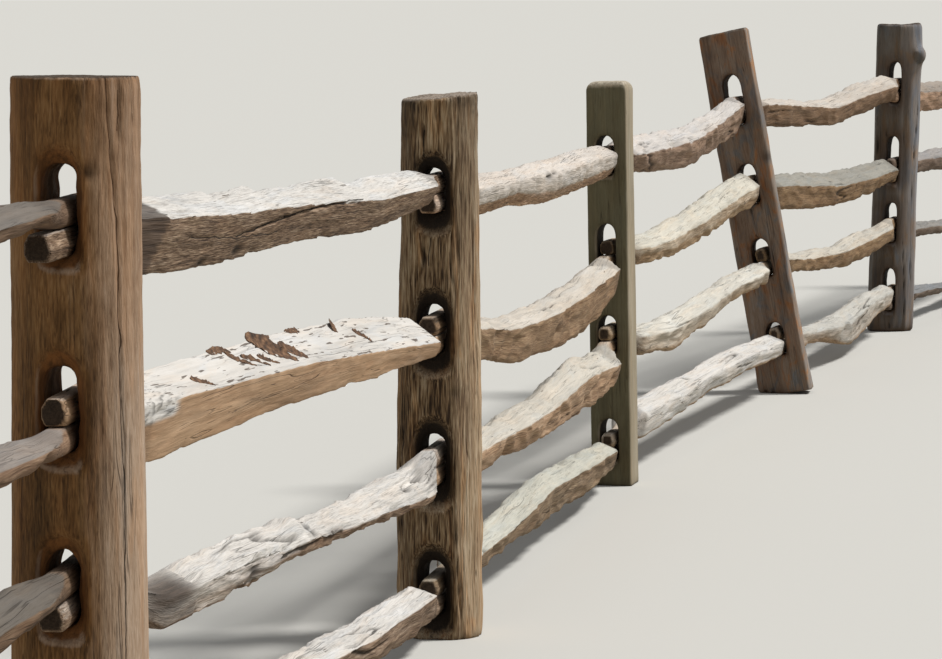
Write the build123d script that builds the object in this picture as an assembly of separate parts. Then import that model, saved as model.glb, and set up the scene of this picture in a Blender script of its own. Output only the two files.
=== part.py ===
from build123d import *
import math
import os
from dataclasses import dataclass

os.makedirs("parts", exist_ok=True)

# A split rail fence: seven posts and four rails in each of six bays. Every post is mortised right through,
# and in each mortise the end of one bay's rail lies on the end of the next bay's.
# Millimetres, +Z up, +X along the row, +Y to its left. The path runs along the right side, -Y.
# The origin is on the ground at the foot of the middle post.

bay_length = 3050        # from post to post, along the row
middle_post = 3          # counted from 0: this post stands at the origin
seat_gap = 0.3           # left between a tenon and what it lies on

tenon_width = 48         # across the bay
tenon_root_out = 62      # its shoulder begins this far before the post
shoulder_run = 110       # usual length of the axe-cut taper between the tenon and the rail's full section
floor_corner = 8         # cut off each lower corner of a mortise
arch_steps = 5           # flats round the top of a mortise
mouth_over = 25          # how far a mouth's cut is carried on outside the post
log_flats = 24           # round a peeled log
foot_below = 120         # posts are drawn this far down and cut off level at the ground
top_round = 25           # of the sawn post's top edges
top_flats = 4            # that make this round
sawn_arris = 3           # worn off the sawn post's upright edges


@dataclass
class Post:
    name: str
    along: float         # how far it stands past its even place in the row
    aside: float         # how far it stands to the left of the row's line
    height: float
    depth: float         # its size along the row
    floors: list         # height of each mortise's floor, from the top one down
    headrooms: list      # free space left over the two tenons in each mortise
    tenon_height: float
    side_room: float     # a mortise is this much wider than a tenon
    upper: list          # whose tenon lies on top: of the bay "before" this post or of the one "after"
    mouth: tuple         # carving of each mouth: how deep, how far sideways, down and up
    lean: float = 0      # to the left, in degrees
    twist: float = 0     # turn of the mortises away from the row, in degrees
    offset: float = 0    # how far the mortises lie to the left of the post's middle


posts = [
    Post("post_1", 10, -403, 1400, 205, [1085, 760, 440, 125], [85, 85, 85, 85], 50, 28,
         ["after"] * 4, (30, 14, 22, 16)),
    Post("post_2", 0, -218, 1420, 222, [1125, 800, 515, 200], [60, 52, 30, 28], 48, 10,
         ["before", "after", "before", "after"], (34, 20, 26, 36), twist=5, offset=14),
    Post("post_3", 10, -127, 1315, 195, [1035, 695, 375, 60], [16, 26, 32, 36], 46, 10,
         ["before", "after", "before", "after"], (44, 30, 60, 46), twist=2, offset=6),
    Post("post_4", 0, 0, 1288, 130, [990, 690, 420, 78], [35, 55, 32, 44], 46, 10,
         ["after"] * 4, (12, 4, 10, 4), lean=1.05, offset=7),
    Post("post_5", 0, -128, 1440, 150, [1073, 757, 468, 152], [88, 48, 38, 20], 56, 24,
         ["before", "before", "after", "after"], (18, 5, 14, 6), lean=10.4),
    Post("post_6", -60, -190, 1433, 170, [1070, 700, 420, 100], [77, 101, 72, 84], 56, 10,
         ["before", "after", "before", "before"], (18, 5, 14, 8), lean=-1.25),
    Post("post_7", -60, -433, 1400, 175, [1070, 750, 430, 115], [80, 80, 80, 80], 56, 20,
         ["before"] * 4, (20, 8, 14, 10)),
]


# Places in the row

def post_place(number):
    """Where the middle of a post's foot stands on the ground."""
    post = posts[number]
    return Vector((number - middle_post) * bay_length + post.along, post.aside, 0)


def bay_heading(bay):
    step = post_place(bay + 1) - post_place(bay)
    return math.degrees(math.atan2(step.Y, step.X))


def post_heading(number):
    """A post's mortises point along the mean of the two bays that meet there."""
    before = bay_heading(max(number - 1, 0))
    after = bay_heading(min(number, len(posts) - 2))
    return (before + after) / 2 + posts[number].twist


def post_frame(number):
    """The post's own frame: x through its mortises, z up its axis."""
    return Pos(post_place(number)) * Rot(0, 0, post_heading(number)) * Rot(-posts[number].lean, 0, 0)


def slot_width(post):
    return tenon_width + post.side_room


def slot_height(post, level):
    return 2 * post.tenon_height + 2 * seat_gap + post.headrooms[level]


# Mortises

def slot_outline(width, low, high):
    """A chiselled hole's outline: flat floor, small corners below, round above in short flats."""
    half = width / 2
    arch = []
    for step in range(arch_steps + 1):
        turn = math.pi * step / arch_steps
        arch.append((half * math.cos(turn), high - half + half * math.sin(turn)))
    return make_face(Polyline(
        (-half + floor_corner, low), (half - floor_corner, low), (half, low + floor_corner), *arch,
        (-half, low + floor_corner), close=True))


def mortise(post, level):
    """The hole right through the post, and its mouths carved wider on both faces."""
    width = slot_width(post)
    height = slot_height(post, level)
    deep, sideways, down, up = post.mouth
    centre = Plane(origin=(0, post.offset, post.floors[level]), x_dir=(0, 1, 0), z_dir=(1, 0, 0))
    hole = extrude(centre * slot_outline(width, 0, height), post.depth, both=True)
    # the cut is carried on outside the face at the same slope
    carry = (deep + mouth_over) / deep
    for side in (1, -1):
        inner = centre.offset(side * (post.depth / 2 - deep))
        outer = centre.offset(side * (post.depth / 2 + mouth_over))
        mouth_width = width + 2 * sideways * carry
        mouth = loft([inner * slot_outline(width, 0, height),
                      outer * slot_outline(mouth_width, -down * carry, height + up * carry)], ruled=True)
        hole += mouth
    return hole


# Posts

def cut_top(post, body, slope_along, slope_across):
    """The top, cut off aslant."""
    plane = Plane((0, 0, post.height), z_dir=(slope_along, slope_across, 1))
    return split(body, plane, keep=Keep.BOTTOM)


def log_body(post, sizes, slope_along, slope_across):
    """A log with the narrow flats that its peeling left, scaled at even heights."""
    step = math.tau / log_flats
    corners = [(math.cos(index * step), math.sin(index * step)) for index in range(log_flats)]
    corners = [(post.depth / 2 * x, post.depth / 2 * y) for x, y in corners]
    return hewn_body(post, corners, sizes, [0] * len(sizes), slope_along, slope_across)


def hewn_body(post, corners, sizes, turns, slope_along, slope_across):
    """A split or hewn post: its outline, scaled and turned at even heights."""
    low, high = -foot_below, post.height + foot_below
    step = (high - low) / (len(sizes) - 1)
    rings = []
    for index, (size, turn) in enumerate(zip(sizes, turns)):
        place = Pos(0, 0, low + index * step) * Rot(0, 0, turn)
        rings.append([(place * Pos(x * size, y * size)).position for x, y in corners])
    return cut_top(post, skin(rings), slope_along, slope_across)


def sawn_body(post):
    """The sawn square post, its top edges rounded against the rain."""
    half = post.depth / 2
    edge = half - sawn_arris
    corners = [(half, -edge), (half, edge), (edge, half), (-edge, half), (-half, edge), (-half, -edge), (-edge, -half),
               (edge, -half)]
    rings = [[Vector(x, y, -foot_below) for x, y in corners]]
    for step in range(top_flats + 1):
        turn = math.pi / 2 * step / top_flats
        size = 1 - top_round * (1 - math.cos(turn)) / half
        level = post.height - top_round * (1 - math.sin(turn))
        rings.append([Vector(x * size, y * size, level) for x, y in corners])
    return skin(rings)


def skin(rings):
    """A solid with flat hewn facets from ring to ring of corners, closed at both ends."""
    faces = [Face(Wire.make_polygon(rings[0])), Face(Wire.make_polygon(rings[-1]))]
    for one, two in zip(rings, rings[1:]):
        for corner in range(len(one)):
            following = (corner + 1) % len(one)
            faces.append(Face(Wire.make_polygon([one[corner], one[following], two[following]])))
            faces.append(Face(Wire.make_polygon([one[corner], two[following], two[corner]])))
    return Solid(Shell(faces))


def post_body(number):
    post = posts[number]
    size = post.depth / 2
    if post.name == "post_1":
        return log_body(post, (1.06, 1.01, 0.97, 0.95), 0.06, 0.03)
    if post.name == "post_2":
        return log_body(post, (1.08, 1.04, 0.98, 0.96), 0.012, 0)
    if post.name == "post_3":
        return log_body(post, (1.07, 1.05, 0.98, 0.94), -0.06, 0.09)
    if post.name == "post_4":
        return sawn_body(post)
    if post.name == "post_5":
        corners = [(-1.02, -1.3), (-0.86, 1.28), (-0.4, 1.4), (0.7, 1.3), (1, 0.8), (1, -1.0), (0.6, -1.2),
                   (-0.7, -1.4)]
        corners = [(size * x, size * y) for x, y in corners]
        return hewn_body(post, corners, (1.02, 0.98, 0.99), (0, 1, -1), 0.05, 0.05)
    if post.name == "post_6":
        corners = [(-1.04, -0.2), (-0.84, 1), (0.1, 1.23), (0.92, 0.88), (1, -0.48), (0.5, -1.18), (-0.1, -1.24),
                   (-0.6, -0.88)]
        corners = [(size * x, size * y) for x, y in corners]
        body = hewn_body(post, corners, (1.06, 1.02, 1.0, 0.97), (4, 2, -2, 0), 0.03, 0.05)
        knot = Pos(-0.2 * size, -1.08 * size, 1293) * Sphere(0.4 * size)
        return body + knot
    corners = [(-0.92, -0.68), (-0.8, 0.94), (0, 1.14), (0.82, 0.98), (0.96, -0.22), (0.7, -1.05), (-0.22, -1.12)]
    corners = [(size * x, size * y) for x, y in corners]
    return hewn_body(post, corners, (1.04, 1.0, 0.96), (-3, 0, 3), -0.06, 0.06)


def make_post(number):
    post = posts[number]
    body = post_body(number)
    for level in range(len(post.floors)):
        body -= mortise(post, level)
    return split(post_frame(number) * body, Plane.XY, keep=Keep.TOP)


# Rails

@dataclass
class Rail:
    width: float
    depths: list         # its height at five even stations between the posts
    bows: list           # how far its middle lies above the straight line between its tenons, there
    arris: tuple         # how far down the front arris lies, as shares of the height, at the two ends
    ridge: float = 0.1   # how far back the top ridge lies, as a share of the width
    stray: float = 0     # how far its middle lies to the left of that line
    near_out: float = 45     # how far its tenons stand out of the posts they pass through
    far_out: float = 45
    near_run: float = shoulder_run
    far_run: float = shoulder_run
    undercut: float = 0.14   # how far in the front face's lower edge lies, as a share of the width
    belly: float = 0.01      # how far that face bulges out between its edges


# Corners of a tenon as shares of its width and height, from the lower front one round by the back and the top.
# The front is the path side.
tenon_corners = [(-0.36, 0), (0.36, 0), (0.50, 0.28), (0.50, 0.70), (0.32, 1), (-0.32, 1), (-0.50, 0.40)]


def body_corners(rail, share):
    """The same corners on the rail's body, as shares about its middle, at that share of its length."""
    arris = 0.5 - rail.arris[0] - share * (rail.arris[1] - rail.arris[0])
    low_front = rail.undercut - 0.50
    cheek = (low_front - 0.50) / 2 - rail.belly
    return [(low_front, -0.50), (0.16, -0.46), (0.46, -0.18), (0.44, 0.26), (rail.ridge, 0.50), (-0.50, arris),
            (cheek, (arris - 0.50) / 2)]


def slot_frame(number, level):
    """A mortise's frame: on its floor, x along it, z up the post."""
    post = posts[number]
    return post_frame(number) * Pos(0, post.offset, post.floors[level])


def tenon_lift(number, level, bay):
    """Height of a tenon's underside over the mortise's floor."""
    post = posts[number]
    at_end_of_row = number in (0, len(posts) - 1)
    lies_on_top = (post.upper[level] == "before") == (bay == number - 1)
    if at_end_of_row or not lies_on_top:
        return seat_gap
    return post.tenon_height + 2 * seat_gap


def tenon_ring(number, level, bay, x):
    """The tenon's corners at that place along its mortise."""
    post = posts[number]
    lift = tenon_lift(number, level, bay)
    frame = slot_frame(number, level)
    ring = []
    for u, w in tenon_corners:
        spot = frame * Pos(x, u * tenon_width, lift + w * post.tenon_height)
        ring.append(spot.position)
    return ring


def tenon_middle(number, level, bay):
    half = posts[number].tenon_height / 2
    spot = slot_frame(number, level) * Pos(0, 0, tenon_lift(number, level, bay) + half)
    return spot.position


def make_rail(bay, level, rail):
    near, far = bay, bay + 1
    start = tenon_middle(near, level, bay)
    end = tenon_middle(far, level, bay)
    flat = Vector(end.X - start.X, end.Y - start.Y, 0)
    forward = flat.normalized()
    left = Vector(-forward.Y, forward.X, 0)
    up = Vector(0, 0, 1)

    near_face = posts[near].depth / 2
    far_face = posts[far].depth / 2
    rings = [
        tenon_ring(near, level, bay, -near_face - rail.near_out),
        tenon_ring(near, level, bay, near_face + tenon_root_out),
    ]
    first = near_face + tenon_root_out + rail.near_run
    last = flat.length - far_face - tenon_root_out - rail.far_run
    count = len(rail.depths)
    for station in range(count):
        share = station / (count - 1)
        run = first + share * (last - first)
        middle = start + (end - start) * (run / flat.length)
        middle += up * rail.bows[station] + left * (rail.stray * math.sin(math.pi * share))
        swell = 1 + 0.06 * math.sin(2.3 * station + 1.7 * level + bay)
        ring = []
        for u, w in body_corners(rail, share):
            ring.append(middle + left * (u * rail.width * swell) + up * (w * rail.depths[station]))
        rings.append(ring)
    rings.append(tenon_ring(far, level, bay, -far_face - tenon_root_out))
    rings.append(tenon_ring(far, level, bay, far_face + rail.far_out))
    return skin(rings)


# Each bay's rails, from the top one down.
bays = [
    [Rail(110, [100, 105, 98, 80, 44], [5, 15, 12, 12, 16], (0.3, 0.4)),
     Rail(115, [105, 110, 95, 70, 38], [0, 8, 12, 10, 4], (0.3, 0.3), stray=10),
     Rail(110, [95, 105, 100, 85, 56], [0, 5, 10, 18, 14], (0.3, 0.5)),
     Rail(110, [90, 100, 100, 95, 80], [0, 8, 10, 5, 0], (0.25, 0.3))],
    [Rail(128, [138, 130, 116, 117, 84], [-11, -19, -13, -20, -3], (0.22, 0.46), near_out=150, near_run=40,
          undercut=0.2),
     Rail(135, [147, 140, 134, 134, 90], [-43, -19, 8, 19, 20], (0.28, 0.64), near_out=16, near_run=40,
          undercut=0.1),
     Rail(110, [85, 95, 70, 75, 92], [-57, -47, -48, -54, -47], (0.3, 0.78), near_out=60, near_run=260),
     Rail(110, [100, 100, 98, 98, 85], [-25, -33, -28, -20, 20], (0.3, 0.3))],
    [Rail(130, [106, 95, 122, 120, 104], [-3, 2, -2, 12, 26], (0.25, 0.25), ridge=0, far_run=50,
          undercut=0.3, belly=0.09),
     Rail(125, [108, 124, 131, 155, 108], [-61, -106, -109, -98, -41], (0.22, 0.22), far_run=60),
     Rail(120, [82, 92, 107, 158, 105], [-8, -26, -43, -32, -46], (0.2, 0.4), far_run=50),
     Rail(110, [75, 68, 125, 112, 90], [10, 17, 34, 20, 15], (0.3, 0.3))],
    [Rail(125, [122, 133, 145, 132, 127], [-27, -56, -79, -65, -36], (0.45, 0.14), near_out=-15, far_run=60,
          undercut=0.24, belly=0.04),
     Rail(125, [82, 101, 122, 132, 125], [-38, -61, -51, -30, -9], (0.3, 0.4), near_out=-15, far_run=50,
          belly=0.05),
     Rail(120, [88, 109, 92, 76, 84], [-52, -79, -50, -14, -4], (0.3, 0.3)),
     Rail(120, [120, 106, 100, 92, 88], [28, 28, 46, 41, 26], (0.3, 0.3), near_out=20, far_run=50)],
    [Rail(125, [110, 113, 112, 138, 114], [8, -24, -55, -25, -2], (0.15, 0.46)),
     Rail(130, [139, 146, 141, 135, 100], [6, -4, -15, 5, 38], (0.28, 0.55), far_run=60),
     Rail(115, [84, 85, 110, 116, 84], [-46, -69, -83, -58, -27], (0.3, 0.3), near_out=0),
     Rail(120, [78, 73, 154, 138, 92], [-36, -55, -80, -27, 2], (0.25, 0.3), ridge=0, near_out=0)],
    [Rail(125, [148, 147, 135, 118, 100], [-13, -23, -25, -15, 0], (0.3, 0.3)),
     Rail(120, [95, 96, 105, 100, 88], [-11, -18, -22, -12, 0], (0.3, 0.4)),
     Rail(110, [62, 63, 72, 85, 80], [2, -17, -40, -25, -5], (0.3, 0.3)),
     Rail(105, [58, 48, 56, 75, 75], [12, -3, -38, -15, 0], (0.3, 0.3))],
]

for number, post in enumerate(posts):
    export_step(make_post(number), f"parts/{post.name}.step")

for bay, rails in enumerate(bays):
    for level, rail in enumerate(rails):
        export_step(make_rail(bay, level, rail), f"parts/bay_{bay + 1}_rail_{level + 1}.step")
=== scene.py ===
import bpy
import bmesh
import math
import numpy as np
from mathutils import Matrix, Vector, kdtree, noise


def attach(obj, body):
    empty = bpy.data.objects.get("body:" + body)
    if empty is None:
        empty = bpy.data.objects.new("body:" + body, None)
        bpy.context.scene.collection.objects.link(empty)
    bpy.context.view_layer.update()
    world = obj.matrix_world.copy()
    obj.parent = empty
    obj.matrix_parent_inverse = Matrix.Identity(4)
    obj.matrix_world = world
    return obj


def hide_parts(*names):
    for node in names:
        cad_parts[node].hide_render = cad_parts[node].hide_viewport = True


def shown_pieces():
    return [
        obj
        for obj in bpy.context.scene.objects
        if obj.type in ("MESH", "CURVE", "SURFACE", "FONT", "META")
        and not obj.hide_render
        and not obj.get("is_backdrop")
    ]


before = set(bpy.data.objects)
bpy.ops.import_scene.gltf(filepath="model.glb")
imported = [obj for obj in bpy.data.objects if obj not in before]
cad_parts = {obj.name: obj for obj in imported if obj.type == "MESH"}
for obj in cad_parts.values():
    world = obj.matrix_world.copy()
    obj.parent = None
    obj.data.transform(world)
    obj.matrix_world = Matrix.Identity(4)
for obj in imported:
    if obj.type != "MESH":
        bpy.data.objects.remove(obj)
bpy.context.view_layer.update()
print("frame loaded:", len(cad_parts), "CAD nodes")

scene = bpy.context.scene

# Where the pieces stand, in metres and degrees. place: foot on the ground, lean: to the left of the row,
# twist: of the mortises, cell: mesh size across the grain
postPlaces = {
    "post_1": {"place": (-9.14, -0.403), "lean": 0, "twist": 0, "cell": 0.0085},
    "post_2": {"place": (-6.10, -0.218), "lean": 0, "twist": 5, "cell": 0.0042},
    "post_3": {"place": (-3.04, -0.127), "lean": 0, "twist": 2, "cell": 0.0043},
    "post_4": {"place": (0.0, 0.0), "lean": 1.05, "twist": 0, "cell": 0.0054},
    "post_5": {"place": (3.05, -0.128), "lean": 10.4, "twist": 0, "cell": 0.0062},
    "post_6": {"place": (6.04, -0.190), "lean": -1.25, "twist": 0, "cell": 0.0068},
    "post_7": {"place": (9.09, -0.433), "lean": 0, "twist": 0, "cell": 0.0090},
}
bayCells = {1: 0.0070, 2: 0.0035, 3: 0.0043, 4: 0.0052, 5: 0.0062, 6: 0.0075}
railsInBay = 4
postSqueeze = 0.5          # cells are twice as long as wide up a post
railSqueeze = 0.22         # and four and a half times along a rail
mergeDistance = 0.00002    # for the corners of a CAD node's loose triangles
sectionCount = 64          # sections looked at along a piece
sectionReach = 0.04        # what lies this near a section counts as on it
lineStep = 0.004           # between the points where a wave along a line is worked out
farAway = 9.0              # more than any distance on a piece


def footOf(number):
    return postPlaces[f"post_{number}"]["place"]


def bayHeading(bay):
    near, far = footOf(bay), footOf(bay + 1)
    return math.atan2(far[1] - near[1], far[0] - near[0])


def postMatrix(number):
    post = postPlaces[f"post_{number}"]
    bayBefore, bayAfter = max(number - 1, 1), min(number, len(bayCells))
    heading = (bayHeading(bayBefore) + bayHeading(bayAfter)) / 2 + math.radians(post["twist"])
    return (Matrix.Translation((*post["place"], 0)) @ Matrix.Rotation(heading, 4, "Z")
            @ Matrix.Rotation(-math.radians(post["lean"]), 4, "X"))


def railMatrix(bay):
    return Matrix.Translation((*footOf(bay), 0)) @ Matrix.Rotation(bayHeading(bay), 4, "Z")


def fineCopy(nodeName, place, along, squeeze, cell, rounding, freeRun):
    # the CAD node's copy, laid with its grain on one axis and meshed anew in cells long with the grain
    squeezer = Matrix.Diagonal([squeeze if axis == along else 1 for axis in range(3)] + [1])
    shape = bmesh.new()
    shape.from_mesh(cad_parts[nodeName].data)
    bmesh.ops.remove_doubles(shape, verts=shape.verts, dist=mergeDistance)
    bmesh.ops.transform(shape, matrix=squeezer @ place.inverted(), verts=shape.verts)
    coarse = bpy.data.meshes.new(nodeName + "_coarse")
    shape.to_mesh(coarse)
    shape.free()
    holder = bpy.data.objects.new(nodeName + "_coarse", coarse)
    scene.collection.objects.link(holder)
    cells = holder.modifiers.new("cells", "REMESH")
    cells.mode = "VOXEL"
    cells.voxel_size = cell
    graph = bpy.context.evaluated_depsgraph_get()
    fine = bpy.data.meshes.new_from_object(holder.evaluated_get(graph))
    bpy.data.objects.remove(holder)
    shape = bmesh.new()
    shape.from_mesh(fine)
    worn = [vert for vert in shape.verts if freeRun[0] < vert.co[along] / squeeze < freeRun[1]]
    for step in range(1 + rounding):
        # the whole piece once, then only its free run
        bmesh.ops.smooth_vert(shape, verts=worn if step else shape.verts[:], factor=0.5,
                              use_axis_x=True, use_axis_y=True, use_axis_z=True)
    bmesh.ops.transform(shape, matrix=squeezer.inverted(), verts=shape.verts)
    shape.to_mesh(fine)
    shape.free()
    fine.update()
    return fine


def readVectors(items, count, field):
    values = np.empty(count * 3, np.float32)
    items.foreach_get(field, values)
    return values.reshape(-1, 3).astype(float)


def surfaceOf(mesh):
    count = len(mesh.vertices)
    return readVectors(mesh.vertices, count, "co"), readVectors(mesh.vertex_normals, count, "vector")


def moveVertices(mesh, points):
    mesh.vertices.foreach_set("co", points.astype(np.float32).ravel())
    mesh.update()


def keepOnPoints(mesh, name, values):
    isVector = values.ndim == 2
    layer = mesh.attributes.new(name, "FLOAT_VECTOR" if isVector else "FLOAT", "POINT")
    layer.data.foreach_set("vector" if isVector else "value", values.astype(np.float32).ravel())


def soften(values, low, high):
    # 0 below low, 1 above high, smooth between
    share = np.clip((values - low) / (high - low), 0, 1)
    return share * share * (3 - 2 * share)


def ripple(points, pattern, seed):
    # layered noise. pattern: length of its waves along and across the grain, layers, step from the seed
    run, across, layers, step = pattern
    spots = points / np.array([run, across, across]) + (seed + step)
    return np.array([noise.fractal(spot, 1.0, 2.0, layers) for spot in spots.tolist()])


def waveAlong(run, pitch, seed, layers):
    # the same noise along one line only, pitch being the length of its waves
    stations = np.arange(run.min() - 0.01, run.max() + 0.01, lineStep)
    spots = [(station / pitch + seed, 0.37 * seed, 0.0) for station in stations]
    return np.interp(run, stations, [noise.fractal(spot, 1.0, 2.0, layers) for spot in spots])


# Relief of all the wood. swell to opened: patterns as ripple reads them; strands and hews get their other
# length from the piece. Fold: how steep their sides are, Kept: their share where the wood is cut smooth,
# ledges: levels of the tongues' noise where a layer of the wood ends, opening: how fast cracks come and go,
# lineStretch: how distance from a crack counts along the grain, fineDark: how dark the painted shade beside
# fine cracks is, wander and bend: size and length of a fine crack's turns
relief = {
    "swell": (0.5, 0.11, 2, 0), "fibre": (0.07, 0.007, 2, 23), "tongue": (0.5, 0.06, 3, 37),
    "split": (1.3, 0.06, 2, 51), "opened": (0.5, 0.1, 1, 67),
    "strandRun": 0.3, "strandFold": 2.6, "strandKept": 0.2, "hewAcross": 0.06, "hewFold": 2.5,
    "ledges": (0.08, 0.33), "ledgeWidth": 0.025, "opening": 0.2, "crackKept": 0.3, "lineStretch": 0.35,
    "fineDark": 0.35, "wander": 0.004, "bend": 0.06,
}


def atLeast(kept, share):
    # the share, raised so that some is kept where there is none
    return kept + (1 - kept) * share


def carve(grain, look, seed, torn):
    # grain: metres along, then across the grain; torn: 1 where the wood is split, 0 where it is cut smooth
    rise = look["swell"] * torn * ripple(grain, relief["swell"], seed)
    strands = np.abs(ripple(grain, (relief["strandRun"], look["strandPitch"], 3, 11), seed))
    rise += look["strand"] * atLeast(relief["strandKept"], torn) * (0.5 - relief["strandFold"] * strands)
    rise += look["fibre"] * ripple(grain, relief["fibre"], seed)
    hews = np.abs(ripple(grain, (look["hewRun"], relief["hewAcross"], 1, 83), seed))
    rise += look["hew"] * torn * (0.5 - relief["hewFold"] * hews)
    tongues = ripple(grain, relief["tongue"], seed)
    for level in relief["ledges"]:
        rise -= look["ledge"] * torn * soften(tongues, level, level + relief["ledgeWidth"])
    opened = soften(ripple(grain, relief["opened"], seed), look["closed"], look["closed"] + relief["opening"])
    crack = np.exp(-(ripple(grain, relief["split"], seed) / look["crackWidth"]) ** 2) * opened
    rise -= look["crack"] * crack * atLeast(relief["crackKept"], torn)
    return rise, crack


def nearLine(points, corners):
    # distance of each point from a run of straight pieces
    scale = np.array([relief["lineStretch"], 1, 1])
    points = points * scale
    best = np.full(len(points), farAway)
    for start, end in zip(corners, corners[1:]):
        start, end = np.array(start) * scale, np.array(end) * scale
        run = end - start
        share = np.clip(((points - start) @ run) / (run @ run), 0, 1)
        best = np.minimum(best, np.linalg.norm(points - start - share[:, None] * run, axis=1))
    return best


def mark(points, look, rise, dark):
    # the piece's own cracks, holes and knots: places in its frame, in metres. Cracks and holes are also painted
    # dark as painted shade
    for corners, width, depth in look["lines"]:
        near = np.exp(-(nearLine(points, corners) / width) ** 2)
        rise -= depth * near
        dark = np.maximum(dark, near * (relief["fineDark"] if look["fine"] else 1) * (depth > 0))
    for place, along, across, depth in look["dabs"]:
        away = (points - np.array(place)) / np.array([along, across, across])
        near = np.exp(-np.sum(away ** 2, axis=1))
        rise -= depth * near
        dark = np.maximum(dark, near * (depth > 0))
    return rise, dark


def fineCracks(run, across, lines, seen):
    # how far each point is from up to three fine cracks, with its side as sign; the material draws them thin
    away = np.full((len(run), 3), farAway)
    for index, corners in enumerate(lines):
        stations, places = np.array(sorted(corners)).T
        within = seen & (run > stations[0]) & (run < stations[-1])
        wander = relief["wander"] * waveAlong(run, relief["bend"], 3.1 * index + 2, 3)
        away[:, index] = np.where(within, across - np.interp(run, stations, places) - wander, farAway)
    return away


def edgeLine(grain, toward):
    # the edge of the section that reaches farthest in that direction, all along the piece
    run = grain[:, 0]
    stations = np.linspace(run.min(), run.max(), sectionCount)
    reach = grain[:, 1] * toward[0] + grain[:, 2] * toward[1]
    corners = []
    for station in stations:
        near = np.flatnonzero(np.abs(run - station) < sectionReach)
        corners.append(grain[near[np.argmax(reach[near])], 1:])
    corners = np.array(corners)
    return np.stack([np.interp(run, stations, corners[:, index]) for index in (0, 1)], axis=1)


def middleOf(points):
    # the middle of a rail's section, all along it
    run = points[:, 0]
    stations = np.linspace(run.min(), run.max(), sectionCount)
    middles = []
    for station in stations:
        near = points[np.abs(run - station) < sectionReach]
        middles.append([(near[:, axis].min() + near[:, axis].max()) / 2 for axis in (1, 2)])
    middles = np.array(middles)
    for _ in range(2):
        middles[1:-1] = (middles[:-2] + 2 * middles[1:-1] + middles[2:]) / 4
    return np.stack([np.interp(run, stations, middles[:, index]) for index in (0, 1)], axis=1)


def finishPiece(mesh, nodeName, place, material):
    mesh.transform(place)
    for polygon in mesh.polygons:
        polygon.use_smooth = True
    mesh.materials.clear()
    mesh.materials.append(material)
    mesh.name = nodeName + "_wood"
    piece = bpy.data.objects.new(nodeName + "_wood", mesh)
    scene.collection.objects.link(piece)
    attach(piece, "root")
    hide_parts(nodeName)
    return piece


# Rails, with lengths in metres. swell, strand and fibre: height of the wood's waves from broad to fine,
# ledge: depth where a layer ends, closed: more leaves fewer cracks, nick: depth of what breaks off the edges,
# hew and hewRun: depth and length of the axe's hollows, rounding: how worn the arrises are,
# rough: contrast of the grain, nearCut and farCut: how far the axe's cuts reach,
# tint and pale: colours the split front and the weathered top, on some rails darkened as painted shade,
# silver: how far the front is weathered too, flakes: bits of dark bark,
# facet: start, slant and depth of a cut beside the post, which is also painted darker as painted shade,
# steps: place and height of a layer's end on the ridge, lines: corners, width and depth of cracks,
# fine: how many of the lines are drawn thin, dabs: place, length, width and depth of holes, or of lumps
# where it is negative, bleached and darkened: place, length and width of chopped spots
railLook = {
    "swell": 0.0022, "strand": 0.0009, "strandPitch": 0.014, "fibre": 0.0007, "ledge": 0.0018, "crack": 0.008,
    "crackWidth": 0.03, "closed": 0.2, "nick": 0.005, "hew": 0.0, "hewRun": 0.16, "rounding": 0, "rough": 0.6,
    "nearCut": 0.24, "farCut": 0.24, "silver": 0.0, "tint": (1.0, 1.0, 1.0), "pale": (1.0, 1.0, 1.0),
    "flakes": 0.0, "facet": None, "steps": [], "lines": [], "fine": 0, "dabs": [], "bleached": [],
    "darkened": [],
}
wornLog = {"rounding": 7, "hew": 0.0065, "swell": 0.007, "strand": 0.0005, "fibre": 0.0004, "rough": 0.4,
           "ledge": 0.002, "nick": 0.004}
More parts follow.
